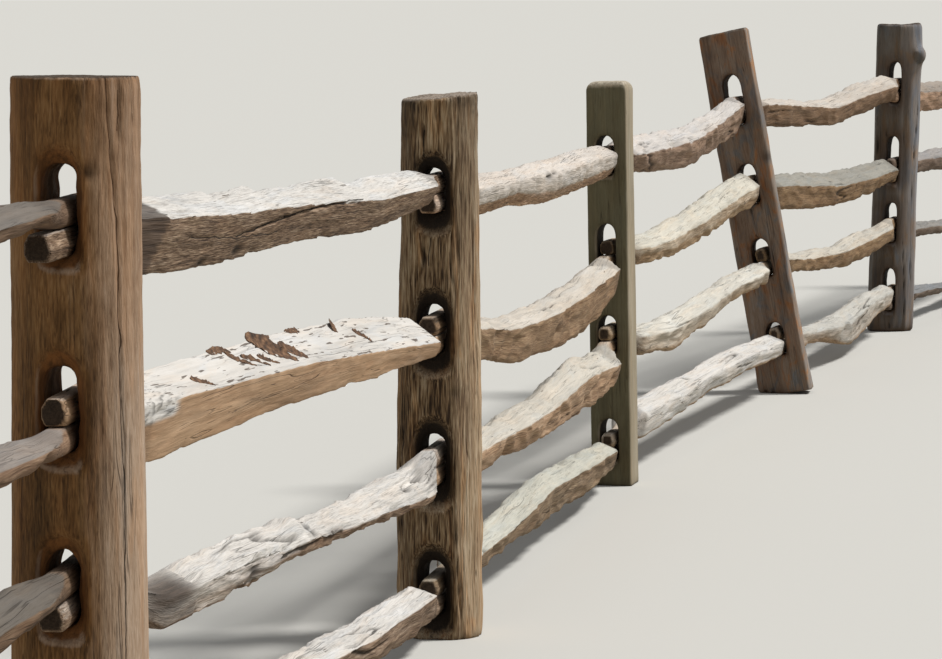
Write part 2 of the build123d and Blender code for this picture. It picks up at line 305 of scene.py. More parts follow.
railLooks = {
    # painted shade: bay_1's first three rails get a darker tint and pale for the shade that falls on them
    "bay_1_rail_1": {**wornLog, "tint": (0.9, 0.82, 0.76), "pale": (0.27, 0.245, 0.225)},
    "bay_1_rail_2": {**wornLog, "tint": (1.25, 1.13, 1.05), "pale": (0.44, 0.40, 0.38)},
    "bay_1_rail_3": {**wornLog, "tint": (0.8, 0.72, 0.64), "pale": (0.22, 0.20, 0.18)},
    "bay_1_rail_4": {**wornLog, "tint": (0.9, 0.9, 0.9), "pale": (0.7, 0.7, 0.7)},
    "bay_2_rail_1": {
        "tint": (1.0, 0.95, 0.9), "swell": 0.0012, "strand": 0.0004, "ledge": 0.001, "nick": 0.006,
        "closed": 0.6, "rough": 0.95, "facet": (0.37, 0.9, 0.45), "fine": 2,
        "steps": [(0.90, 0.010), (1.25, 0.016), (2.0, 0.016)],
        "lines": [([(0.90, -0.044, 1.100), (1.32, -0.046, 1.117), (1.60, -0.050, 1.123),
                    (1.99, -0.055, 1.118)], 0.0026, 0.012),
                  ([(0.565, -0.043, 1.118), (0.92, -0.044, 1.098), (1.25, -0.044, 1.088)], 0.0020, 0.004),
                  ([(0.40, -0.030, 1.172), (0.62, -0.030, 1.166)], 0.004, 0.014),
                  ([(2.05, -0.052, 1.112), (2.35, -0.05, 1.110)], 0.002, 0.004)],
        "dabs": [((0.96, -0.031, 1.068), 0.035, 0.012, 0.008), ((0.70, -0.03, 1.062), 0.03, 0.010, 0.006)]},
    "bay_2_rail_2": {
        "tint": (2.1, 1.95, 1.72), "swell": 0.003, "strand": 0.0003, "fibre": 0.0004, "closed": 0.6,
        "ledge": 0.001, "nick": 0.003, "flakes": 0.9, "rough": 0.12, "hew": 0.002, "hewRun": 0.2,
        "bleached": [((0.30, -0.050, 0.84), 0.16, 0.028)]},
    "bay_2_rail_3": {
        "tint": (1.2, 1.15, 1.1), "silver": 0.6, "swell": 0.005, "strand": 0.0012, "ledge": 0.007,
        "nick": 0.007, "rough": 0.75, "hew": 0.004, "hewRun": 0.2, "rounding": 2, "nearCut": 0.62,
        "flakes": 0.1, "steps": [(1.62, 0.016)], "darkened": [((0.47, -0.045, 0.492), 0.16, 0.040)],
        "lines": [([(1.20, -0.010, 0.480), (1.42, -0.030, 0.455)], 0.004, 0.010),
                  ([(1.28, -0.038, 0.440), (1.40, -0.040, 0.436), (1.63, -0.040, 0.420)], 0.005, 0.012),
                  ([(2.45, -0.020, 0.420), (2.62, -0.014, 0.424)], 0.003, 0.010)],
        "dabs": [((1.47, -0.004, 0.472), 0.075, 0.026, -0.026), ((1.60, -0.02, 0.45), 0.03, 0.02, 0.010),
                 ((2.60, -0.016, 0.418), 0.034, 0.009, 0.016),
                 ((2.76, -0.011, 0.422), 0.026, 0.008, 0.014), ((1.21, -0.001, 0.485), 0.034, 0.008, 0.014),
                 ((1.75, -0.040, 0.425), 0.07, 0.016, 0.012), ((1.06, -0.040, 0.440), 0.05, 0.014, 0.010)]},
    "bay_2_rail_4": {**wornLog, "tint": (1.2, 1.2, 1.2), "rough": 0.6, "rounding": 3},
    "bay_3_rail_1": {
        "tint": (2.0, 1.84, 1.7), "pale": (0.98, 0.93, 0.89), "silver": 2.5, "swell": 0.003, "strand": 0.0006,
        "fibre": 0.0014, "ledge": 0.0006, "closed": 0.6, "nick": 0.002, "rounding": 20, "hew": 0.004,
        "hewRun": 0.06, "rough": 0.7,
        "dabs": [((1.43, -0.048, 1.058), 0.05, 0.012, 0.012), ((1.52, -0.046, 1.066), 0.035, 0.009, 0.010),
                 ((1.08, -0.020, 0.994), 0.12, 0.010, -0.010), ((0.86, -0.020, 1.006), 0.05, 0.007, 0.008)]},
    "bay_3_rail_2": {**wornLog, "tint": (1.3, 1.2, 1.02), "silver": 0.1, "pale": (0.9, 0.86, 0.80)},
    "bay_3_rail_3": {**wornLog, "tint": (1.8, 1.68, 1.5), "silver": 0.25, "pale": (0.88, 0.86, 0.80)},
    "bay_3_rail_4": {**wornLog, "tint": (1.1, 1.1, 1.0), "pale": (0.8, 0.82, 0.76)},
    "bay_4_rail_1": {**wornLog, "tint": (1.35, 1.3, 1.32), "silver": 0.15, "nick": 0.009,
                     "pale": (0.92, 0.9, 0.9)},
    "bay_4_rail_2": {**wornLog, "tint": (1.8, 1.76, 1.52), "silver": 0.4, "pale": (0.96, 0.95, 0.87)},
    "bay_4_rail_3": {**wornLog, "tint": (1.7, 1.7, 1.52), "silver": 0.5, "pale": (0.98, 0.98, 0.93)},
    "bay_4_rail_4": {**wornLog, "tint": (2.2, 2.25, 2.1), "silver": 0.9, "hew": 0.003},
    "bay_5_rail_1": {**wornLog, "tint": (0.95, 0.84, 0.72), "pale": (0.86, 0.81, 0.76)},
    # painted shade: bay_5_rail_2's pale is darker for the shade that falls on it
    "bay_5_rail_2": {**wornLog, "tint": (1.12, 1.0, 0.78), "pale": (0.5, 0.5, 0.47)},
    "bay_5_rail_3": {**wornLog, "tint": (1.25, 1.15, 0.92), "silver": 0.1, "pale": (0.85, 0.82, 0.75)},
    "bay_5_rail_4": {**wornLog, "tint": (2.2, 2.2, 2.1), "silver": 0.6, "pale": (0.8, 0.81, 0.79)},
    "bay_6_rail_1": {**wornLog, "tint": (1.8, 1.66, 1.6), "pale": (0.5, 0.45, 0.41)},
    # painted shade: bay_6's rails 2 to 4 get a darker tint and pale for the shade that falls on them
    "bay_6_rail_2": {**wornLog, "tint": (0.8, 0.8, 0.85), "pale": (0.5, 0.49, 0.5)},
    "bay_6_rail_3": {**wornLog, "tint": (0.7, 0.72, 0.76), "pale": (0.4, 0.4, 0.4)},
    "bay_6_rail_4": {**wornLog, "tint": (0.7, 0.74, 0.8), "pale": (0.35, 0.37, 0.4)},
}

# What all rails share, in metres. tenon and worn: where a rail gets free of the post, and where the wear
# begins, from the post's middle, cutBlur and cutFade: how ragged and how soft the end of the axe's cuts is,
# sunk: how far a tenon lies under its CAD faces, blur and splinter: patterns as ripple reads them,
# Front: how far behind the section's middle a facet and a crack reach, newTilt: how much the carved form
# counts in the weather and painted light, Tilt: the slope where something begins and where it is full,
# freshInPost: how far the weather and painted light are kept off there, Stain: how strong each is, the
# facet's being painted shade on the axe's cut and the others stains, splinterDark: how strong the painted
# shade in the splinters' gaps is
railForm = {
    "tenon": (0.13, 0.19), "worn": 0.16, "cutBlur": 0.02, "cutFade": 0.05, "sunk": 0.0006,
    "reliefInPost": 0.3, "blur": (0.08, 0.04, 1, 5), "splinter": (0.03, 0.007, 2, 97), "splinterDepth": 0.004,
    "facetFront": 0.015, "facetEdge": 0.004, "facetReach": 0.12, "crackFront": 0.01, "newTilt": 0.3,
    "topTilt": (0.1, 0.6), "silverTilt": (-0.7, -0.1), "flakesTilt": (0.1, 0.5), "endTilt": (0.75, 0.95),
    "freshInPost": 0.6, "splinterDark": 0.7, "darkenedStain": 0.95, "axedStain": 0.35, "facetShade": 0.85,
}

# A rail's edges. toward: where they lie in its section, across and up, depth: share of the nick,
# width and pitch: how far in and how often bits are broken off
railEdges = {
    "frontArris": {"toward": (-0.9, 0.44), "depth": 1.0, "width": 0.012, "pitch": 0.14},
    "lowerEdge": {"toward": (-0.6, -0.8), "depth": 0.8, "width": 0.014, "pitch": 0.22},
    "ridge": {"toward": (0.1, 1.0), "depth": 0.6, "width": 0.030, "pitch": 0.24},
}

# bites: share of the depth, and heights of the wave where it begins to break off and where all is lost,
# ragged and raggedPitch: what is splintered along all three edges
breakLook = {"bites": ((0.8, 0.12, 0.16), (0.4, 0.26, 0.28)), "ragged": 0.35, "raggedPitch": 0.028}

# Steps on the ridge. slant: how they run across it, edge: half the run of the fall, swell and sink: shares of
# the height before and behind it, swellRun and sinkRun: how far they are felt, width: of what follows
stepLook = {"slant": 0.9, "edge": 0.008, "swell": 0.5, "swellRun": 0.25, "sink": 0.6, "sinkRun": 0.3,
            "width": 0.06}


def fromEdge(grain, edge):
    # the squared distance from one of the rail's edges
    return np.sum((grain[:, 1:] - edgeLine(grain, edge["toward"])) ** 2, axis=1)


def breakEdges(points, grain, look, seed, whole):
    for edge in railEdges.values():
        side, up = edge["toward"]
        wave = waveAlong(grain[:, 0], edge["pitch"], seed + 7 * up, 2)
        bite = breakLook["ragged"] * waveAlong(grain[:, 0], breakLook["raggedPitch"], seed + 9 * up, 3)
        for share, begin, full in breakLook["bites"]:
            bite += share * soften(wave, begin, full)
        near = np.exp(-fromEdge(grain, edge) / edge["width"] ** 2)
        lost = look["nick"] * edge["depth"] * near * whole * bite
        points[:, 1] -= lost * side
        points[:, 2] -= lost * up


def addSteps(points, grain, look, whole):
    # the ridge swells towards a layer's end and falls off behind it
    nearRidge = np.exp(-fromEdge(grain, railEdges["ridge"]) / stepLook["width"] ** 2)
    for start, height in look["steps"]:
        beyond = grain[:, 0] - start + stepLook["slant"] * grain[:, 1]
        fall = soften(beyond, -stepLook["edge"], stepLook["edge"])
        swell = stepLook["swell"] * (1 - fall) * np.exp(np.minimum(beyond, 0) / stepLook["swellRun"])
        sink = stepLook["sink"] * fall * np.exp(-np.maximum(beyond, 0) / stepLook["sinkRun"])
        points[:, 2] += height * (swell - sink) * nearRidge * whole


def cutFacet(points, grain, look, free):
    # the axe's slanting cut where the front runs into the post; gives back where it is
    if not look["facet"]:
        return np.zeros(len(points))
    start, slant, depth = look["facet"]
    into = start + slant * (points[:, 2] - points[:, 2].mean()) - points[:, 0]
    front = (grain[:, 1] < railForm["facetFront"]) * free
    points[:, 1] += np.clip(into, 0, railForm["facetReach"]) * depth * front
    return soften(into, -railForm["facetEdge"], railForm["facetEdge"]) * front


def choppedSpots(points, spots):
    amount = np.zeros(len(points))
    for spot, along, across in spots:
        away = (points - np.array(spot)) / np.array([along, 2 * across, across])
        amount += np.exp(-np.sum(away ** 4, axis=1))
    return amount


def makeRail(bay, level, material):
    nodeName = f"bay_{bay}_rail_{level}"
    look = {**railLook, **railLooks[nodeName]}
    place = railMatrix(bay)
    span = math.dist(footOf(bay), footOf(bay + 1))
    freeRun = (railForm["worn"], span - railForm["worn"])
    mesh = fineCopy(nodeName, place, 0, railSqueeze, bayCells[bay], look["rounding"], freeRun)
    points, normals = surfaceOf(mesh)
    grain = points - np.column_stack([np.zeros(len(points)), middleOf(points)])
    seed = 7.3 * bay + 31.7 * level
    blur = railForm["cutBlur"] * ripple(grain, railForm["blur"], seed)
    torn = (soften(points[:, 0] + blur, look["nearCut"], look["nearCut"] + railForm["cutFade"])
            * soften(span - points[:, 0] + blur, look["farCut"], look["farCut"] + railForm["cutFade"]))
    inPost = 1 - soften(np.minimum(points[:, 0], span - points[:, 0]), *railForm["tenon"])
    bleached = choppedSpots(points, look["bleached"])
    darkened = choppedSpots(points, look["darkened"])

    # the form
    rise, crack = carve(grain, look, seed, torn)
    rise, crack = mark(points, look, rise, crack)
    splinters = ripple(points, railForm["splinter"], seed)
    rise += railForm["splinterDepth"] * bleached * splinters
    crack = np.maximum(crack, railForm["splinterDark"] * bleached * soften(splinters, 0.15, 0.4))
    riseInPost = railForm["reliefInPost"] * np.minimum(rise, 0) - railForm["sunk"]
    rise = np.where(inPost > 0, (1 - inPost) * rise + inPost * riseInPost, rise)
    points += normals * rise[:, None]
    facet = cutFacet(points, grain, look, 1 - inPost)
    breakEdges(points, grain, look, seed, torn)
    addSteps(points, grain, look, torn)
    moveVertices(mesh, points)
    newNormals = readVectors(mesh.vertex_normals, len(mesh.vertices), "vector")

    # what the material reads
    # painted light: up-facing wood is painted paler, part weathering and part the light from above
    up = normals[:, 2] + railForm["newTilt"] * (newNormals[:, 2] - normals[:, 2])
    weatherAndLight = soften(up, *railForm["topTilt"]) + bleached
    weatherAndLight += look["silver"] * soften(normals[:, 2], *railForm["silverTilt"])
    fine = [[(x, z) for x, y, z in corners] for corners, width, depth in look["lines"][:look["fine"]]]
    axed = railForm["axedStain"] * (1 - torn) * (1 - inPost) * (1 - np.clip(bleached, 0, 1))
    # painted shade: the axe's facet is painted darker in the stain mask, beside the real stains
    stainsAndShade = [railForm["darkenedStain"] * darkened, axed, railForm["facetShade"] * facet]
    seam = fineCracks(points[:, 0], points[:, 2], fine, grain[:, 1] < railForm["crackFront"])
    cutEnd = soften(np.abs(newNormals[:, 0]), *railForm["endTilt"]) * soften(inPost, 0.2, 0.6)
    keepOnPoints(mesh, "grain", grain + np.array([seed, 0.37 * level, 0.61 * bay]))
    keepOnPoints(mesh, "weatherAndLight", np.clip(weatherAndLight, 0, 1) * (1 - railForm["freshInPost"] * inPost))
    # painted shade: cracks, holes and the splinters' gaps are painted dark
    keepOnPoints(mesh, "hollowShade", np.clip(crack, 0, 1))
    keepOnPoints(mesh, "seam", seam)
    keepOnPoints(mesh, "stainAndShade", np.maximum.reduce(stainsAndShade))
    keepOnPoints(mesh, "flakes", look["flakes"] * soften(normals[:, 2], *railForm["flakesTilt"]))
    keepOnPoints(mesh, "rough", np.full(len(points), look["rough"]))
    keepOnPoints(mesh, "cutEnd", cutEnd)
    for name in ("tint", "pale"):
        keepOnPoints(mesh, name, np.tile(np.array(look[name]), (len(points), 1)))
    return finishPiece(mesh, nodeName, place, material)


# Posts, with the rails' words where they mean the same. round: flats to be rounded,
# chisel: depth of the chips in the mouths, mouthDark: how dark their inside is painted, as painted shade,
# halo and haloReach: how dark the ring round the mouths is, part stain and part painted shade, and how far
# it spreads
postLook = {
    "swell": 0.0025, "strand": 0.0008, "strandPitch": 0.03, "fibre": 0.0005, "ledge": 0.0, "crack": 0.008,
    "crackWidth": 0.022, "closed": 0.2, "hew": 0.0, "hewRun": 0.2, "rounding": 1, "rough": 0.6,
    "round": False, "chisel": 0.005, "mouthDark": 0.5, "halo": 0.4, "haloReach": 0.02,
    "lines": [], "fine": 0, "dabs": [],
}
postLooks = {
    "post_1": {"round": True},
    "post_2": {
        "round": True, "swell": 0.002, "strand": 0.0003, "crack": 0.003, "closed": 0.7, "chisel": 0.008,
        "mouthDark": 0.2, "rough": 0.7, "rounding": 3, "halo": 0.35, "haloReach": 0.016, "fine": 2,
        "lines": [([(-0.083, -0.066, 1.42), (-0.079, -0.072, 1.301), (-0.075, -0.078, 1.235),
                    (-0.070, -0.083, 1.130), (-0.069, -0.084, 1.00), (-0.066, -0.086, 0.80),
                    (-0.068, -0.085, 0.55), (-0.062, -0.089, 0.30)], 0.0036, 0.0035),
                  ([(-0.064, -0.085, 1.40), (-0.065, -0.084, 1.37), (-0.067, -0.083, 1.33)], 0.0045, 0.005)],
        "dabs": [((-0.098, -0.038, 1.265), 0.012, 0.012, 0.007)]},
    "post_3": {
        "round": True, "swell": 0.004, "strand": 0.0013, "strandPitch": 0.009, "fibre": 0.001, "crack": 0.009,
        "closed": 0.05, "mouthDark": 0.95, "chisel": 0.004, "halo": 0.72, "haloReach": 0.017, "rough": 1.0,
        "hew": 0.003, "fine": 2,
        "lines": [([(-0.090, 0.024, 1.24), (-0.085, 0.026, 1.165)], 0.003, 0.006),
                  ([(-0.094, 0.009, 0.98), (-0.090, 0.010, 0.90)], 0.003, 0.005)],
        "dabs": [((-0.075, -0.045, 0.60), 0.016, 0.016, 0.004)]},
    "post_4": {"swell": 0.001, "strand": 0.0004, "crack": 0.002, "chisel": 0.001, "closed": 0.5,
               "mouthDark": 0.75, "rough": 0.3},
    "post_5": {"swell": 0.005, "mouthDark": 0.7, "rough": 0.35, "hew": 0.003,
               "dabs": [((-0.06, -0.09, 0.93), 0.02, 0.02, 0.003)]},
    "post_6": {"swell": 0.007, "mouthDark": 0.8, "rough": 0.3, "rounding": 2, "halo": 0.6, "haloReach": 0.05,
               "dabs": [((-0.017, -0.080, 1.285), 0.07, 0.05, -0.014)]},
    "post_7": {"rough": 0.4},
}

# What all posts share, in metres. sectors and skin: parts of the round, and the percentile of their points
# that counts as the skin, flats: of the log's CAD solid, top: how far down the cut top counts,
# inside: depths from the skin to well in a mouth, rim: depths of what the stain and painted shade spread
# from, chip: size of the chisel's chips, radius and crackDepth: where fine cracks are measured, and how deep
# they are seen, sunSide and sunTilt: the side toward the sun lamp, painted paler as part sun-bleach and
# part painted light, and where that begins and is full, dark and stained: depths in a mouth where its
# painted shade and its stain each begin and end, cut, calm and fresh: how far the wood in a mouth is cut
# smooth, has lost its relief and is kept from the weather and painted light
postForm = {
    "sectors": 72, "skin": 80, "flats": 24, "top": (0.05, 0.02), "inside": (0.004, 0.016),
    "rim": (0.01, 0.03), "chip": 0.034, "radius": 0.11, "crackDepth": 0.02, "sunSide": (0.25, -0.9, 0.35),
    "sunTilt": (-0.25, 0.9), "topBleachAndLight": 0.9, "topTilt": (0.15, 0.5), "dark": (0.006, 0.05),
    "stained": (0.03, 0.07), "cut": 0.6, "calm": 0.5, "fresh": 0.7,
}


def nearMouths(points, deep, reach):
    # 1 at the mouths' rims, fading outside over that reach
    tree = kdtree.KDTree(len(deep))
    for index, spot in enumerate(deep.tolist()):
        tree.insert(spot, index)
    tree.balance()
    away = np.array([tree.find(spot)[2] for spot in points.tolist()])
    return np.exp(-(away / reach) ** 2)


def underSkin(points, angle):
    # how deep each point lies inside the post's skin
    count = postForm["sectors"]
    sector = ((angle + math.pi) / math.tau * count).astype(int) % count
    reach = np.hypot(points[:, 0], points[:, 1])
    skin = np.array([np.percentile(reach[sector == index], postForm["skin"]) for index in range(count)])
    return skin[sector] - reach


def roundFlats(points, angle, share):
    # the log's flats are brought out to its round
    half = math.pi / postForm["flats"]
    bulge = np.cos(np.mod(angle, 2 * half) - half) / math.cos(half) - 1
    points[:, :2] *= 1 + (bulge * share)[:, None]


def makePost(number, material):
    nodeName = f"post_{number}"
    look = {**postLook, **postLooks[nodeName]}
    place = postMatrix(number)
    cell, everywhere = postPlaces[nodeName]["cell"], (-farAway, farAway)
    mesh = fineCopy(nodeName, place, 2, postSqueeze, cell, look["rounding"], everywhere)
    points, normals = surfaceOf(mesh)
    grain = points[:, [2, 0, 1]]
    seed = 17.9 * number
    angle = np.arctan2(points[:, 1], points[:, 0])
    sunk = underSkin(points, angle)
    low, high = [points[:, 2].max() - below for below in postForm["top"]]
    onTop = soften(points[:, 2], low, high) * soften(normals[:, 2], 0.5, 0.8)
    inside = soften(sunk, *postForm["inside"]) * (1 - onTop)

    # the form
    if look["round"]:
        roundFlats(points, angle, 1 - inside)
    rise, crack = carve(grain, look, seed, 1 - postForm["cut"] * inside)
    lines = [([(z, x, y) for x, y, z in corners], width, depth) for corners, width, depth in look["lines"]]
    dabs = [((z, x, y), along, across, depth) for (x, y, z), along, across, depth in look["dabs"]]
    rise, crack = mark(points[:, [2, 0, 1]], {**look, "lines": lines, "dabs": dabs}, rise, crack)
    rims = (inside > 0.5) & (sunk > postForm["rim"][0]) & (sunk < postForm["rim"][1])
    halo = nearMouths(points, points[rims][::3], look["haloReach"])
    chips = np.array([noise.voronoi((spot / postForm["chip"]).tolist())[0][0] for spot in points])
    rise = rise * (1 - postForm["calm"] * inside) + look["chisel"] * inside * (chips - 0.5)
    points += normals * rise[:, None]
    points[:, 2] = np.maximum(points[:, 2], 0)
    moveVertices(mesh, points)

    # what the material reads
    fine = [[(z, math.atan2(y, x) * postForm["radius"]) for x, y, z in corners]
            for corners, width, depth in look["lines"][:look["fine"]]]
    seam = fineCracks(points[:, 2], angle * postForm["radius"], fine, sunk < postForm["crackDepth"])
    # painted light: the side toward the sun lamp and the top are painted paler, part sun-bleach and part painted
    # light
    outward = normals @ np.array(place.to_3x3()).T
    bleached = soften(outward @ np.array(postForm["sunSide"]), *postForm["sunTilt"])
    weatherAndLight = np.maximum(bleached, postForm["topBleachAndLight"] * soften(outward[:, 2], *postForm["topTilt"]))
    # painted shade: a mouth's inside is painted darker the deeper it lies, and cracks are painted dark too
    dark = look["mouthDark"] * soften(sunk, *postForm["dark"]) * inside
    # the mouths' own stain, and a ring round them painted darker, part stain and part painted shade
    stainAndShade = np.maximum(inside * (1 - soften(sunk, *postForm["stained"])), look["halo"] * halo)
    keepOnPoints(mesh, "grain", grain + np.array([seed, 0.0, 0.0]))
    keepOnPoints(mesh, "seam", seam)
    keepOnPoints(mesh, "weatherAndLight", weatherAndLight * (1 - postForm["fresh"] * inside))
    keepOnPoints(mesh, "hollowShade", np.maximum(crack * (1 - inside), dark))
    keepOnPoints(mesh, "stainAndShade", stainAndShade)
    keepOnPoints(mesh, "rough", np.full(len(points), look["rough"]))
    keepOnPoints(mesh, "cutEnd", onTop)
    return finishPiece(mesh, nodeName, place, material)


def tone(colour):
    # a colour as a screen shows it, 0 to 255, made linear for the shader
    shares = [value / 255 for value in colour]
    return (*[share / 12.92 if share < 0.04045 else ((share + 0.055) / 1.055) ** 2.4 for share in shares], 1)


class Shading:
    # short ways to add and join the shader nodes of a material or of the sky
    def __init__(self, owner, shaderName="Principled BSDF"):
        owner.use_nodes = True
        self.owner = owner
        self.tree = owner.node_tree
        self.shader = self.tree.nodes[shaderName]

    def give(self, node, socket, value):
        # the socket gets another one's output, or a plain value
        if isinstance(value, bpy.types.NodeSocket):
            self.tree.links.new(value, node.inputs[socket])
        else:
            node.inputs[socket].default_value = value

    def add(self, kind, settings=None, sockets=None):
        made = self.tree.nodes.new(kind)
        for key, value in (settings or {}).items():
            setattr(made, key, value)
        for key, value in (sockets or {}).items():
            self.give(made, key, value)
        return made

    def read(self, name, output):
        return self.add("ShaderNodeAttribute", {"attribute_name": name}).outputs[output]

    def math(self, operation, first, second=0.0, clamp=False):
        settings = {"operation": operation, "use_clamp": clamp}
        return self.add("ShaderNodeMath", settings, {0: first, 1: second}).outputs[0]

    def times(self, first, second):
        return self.math("MULTIPLY", first, second)

    def plus(self, first, second):
        return self.math("ADD", first, second)

    def minus(self, first, second):
        return self.math("SUBTRACT", first, second)

    def swing(self, value, size):
        # a noise's swing about its middle, scaled
        return self.times(self.minus(value, 0.5), size)

    def spread(self, value, low, high, toLow=0.0, toHigh=1.0):
        return self.add("ShaderNodeMapRange", {"interpolation_type": "SMOOTHSTEP"},
                        {0: value, 1: low, 2: high, 3: toLow, 4: toHigh}).outputs[0]

    def noise(self, vector, pitch, detail=3.0, roughness=0.55, distortion=0.0):
        scale = (1 / pitch[0], 1 / pitch[1], 1 / pitch[1])
        scaled = self.add("ShaderNodeMapping", {}, {"Vector": vector, "Scale": scale}).outputs[0]
        sockets = {"Vector": scaled, "Scale": 1.0, "Detail": detail, "Roughness": roughness,
                   "Distortion": distortion}
        return self.add("ShaderNodeTexNoise", {}, sockets).outputs["Fac"]

    def lines(self, vector, look):
        # thin lines where a noise crosses its middle value, in patches
        away = self.math("ABSOLUTE", self.minus(self.noise(vector, look["pitch"], 2.0), 0.5))
        patches = self.spread(self.noise(vector, look["patches"], 1.0), *look["shown"])
        return self.times(self.spread(away, 0.0, look["width"], 1.0, 0.0), patches)

    def ramp(self, value, places, colours):
        made = self.add("ShaderNodeValToRGB", {}, {0: value})
        points = made.color_ramp.elements
        while len(points) < len(places):
            points.new(0.5)
        for point, place, colour in zip(points, places, colours):
            point.position = place
            point.color = tone(colour)
        return made.outputs[0]

    def mix(self, share, first, second, blend="MIX"):
        settings = {"data_type": "RGBA", "blend_type": blend}
        return self.add("ShaderNodeMix", settings, {0: share, 6: first, 7: second}).outputs[2]

    def darker(self, colour, share, by):
        # the colour times another, by that share
        return self.mix(share, colour, self.mix(1.0, colour, (*by, 1), "MULTIPLY"))

    def bumped(self, height, strength, distance):
        bump = self.add("ShaderNodeBump", {}, {"Strength": strength, "Distance": distance, "Height": height})
        self.give(self.shader, "Normal", bump.outputs[0])


# All wood. wood and silver: tones of fresh and of weathered wood from dark to pale, at their stops,
# Pitch: length of a pattern's waves along and across the grain, in metres, broad to fleck: its strength,
# silverFrom and silverTo: where the weather and painted light begin to show and are full, patchiness: how
# uneven it is, warm and cool: strength of the mottles, Shown: values of a pattern where it begins to show
# and is full, splits and hairs: cracks that only the material has, seam: edges and raggedness of a crack
# that the piece brings, the crack tone: painted shade for all cracks and hollows, Depth: how dark a thing
# is painted, inBump: how much of each thing the bump shows
woodFinish = {
    "woodStops": (0.26, 0.42, 0.58, 0.76), "silverStops": (0.20, 0.36, 0.56, 0.78),
    "wood": ((62, 48, 38), (116, 96, 79), (146, 126, 107), (190, 170, 150)),
    "silver": ((130, 128, 126), (192, 189, 185), (218, 214, 208), (236, 232, 227)),
    "broadPitch": (0.7, 0.07), "streakPitch": (0.24, 0.010), "fibrePitch": (0.05, 0.0028),
    "fleckPitch": (0.05, 0.004), "mottlePitch": (0.3, 0.04), "flakePitch": (0.09, 0.008),
    "ringPitch": (0.05, 0.006),
    "broad": 0.25, "streak": 0.6, "fibre": 1.1, "fleck": 0.7, "silverFrom": 0.2, "silverTo": 0.75,
    "patchiness": 0.3, "warm": 0.15, "cool": 0.2, "warmTone": (1.18, 0.93, 0.70),
    "coolTone": (0.80, 0.94, 1.12), "fleckTone": (0.34, 0.30, 0.28), "crackShadeTone": (30, 23, 18),
    "stainTone": (86, 72, 62), "stainShade": 0.72, "cutTone": (74, 60, 48), "ringTone": (0.5, 0.47, 0.45),
    "splits": {"pitch": (0.9, 0.032), "width": 0.012, "patches": (0.4, 0.05), "shown": (0.50, 0.6)},
    "hairs": {"pitch": (0.4, 0.012), "width": 0.02, "patches": (0.2, 0.03), "shown": (0.45, 0.62)},
    "splitDepth": 0.5, "hairDepth": 0.35, "seamDepth": 0.9, "flakeDepth": 0.85, "hollowShadeDepth": 0.92,
    "warmShown": (0.52, 0.64), "coolShown": (0.36, 0.48), "fleckShown": (0.60, 0.68), "flakeGain": 0.12,
    "flakeShown": (0.73, 0.76), "silverMiddle": 0.56, "silverSwing": 0.5, "silverFine": 0.8,
    "seamFrom": 0.0004, "seamTo": 0.0017, "seamFuzz": 0.002, "roughness": 0.86, "specular": 0.25,
    "bump": 0.8, "bumpHeight": 0.003, "inBump": {"streak": 0.7, "fine": 1.2, "split": 0.7, "hair": 0.25},
}


def drawnCracks(shading, look, fibre):
    # the nearest of the piece's three fine cracks, drawn a millimetre or so wide in painted shade
    away = shading.add("ShaderNodeSeparateXYZ", {}, {0: shading.read("seam", "Vector")}).outputs
    near = shading.math("ABSOLUTE", away[0])
    for index in (1, 2):
        near = shading.math("MINIMUM", near, shading.math("ABSOLUTE", away[index]))
    near = shading.plus(near, shading.swing(fibre, look["seamFuzz"]))
    return shading.spread(near, look["seamFrom"], look["seamTo"], 1.0, 0.0)


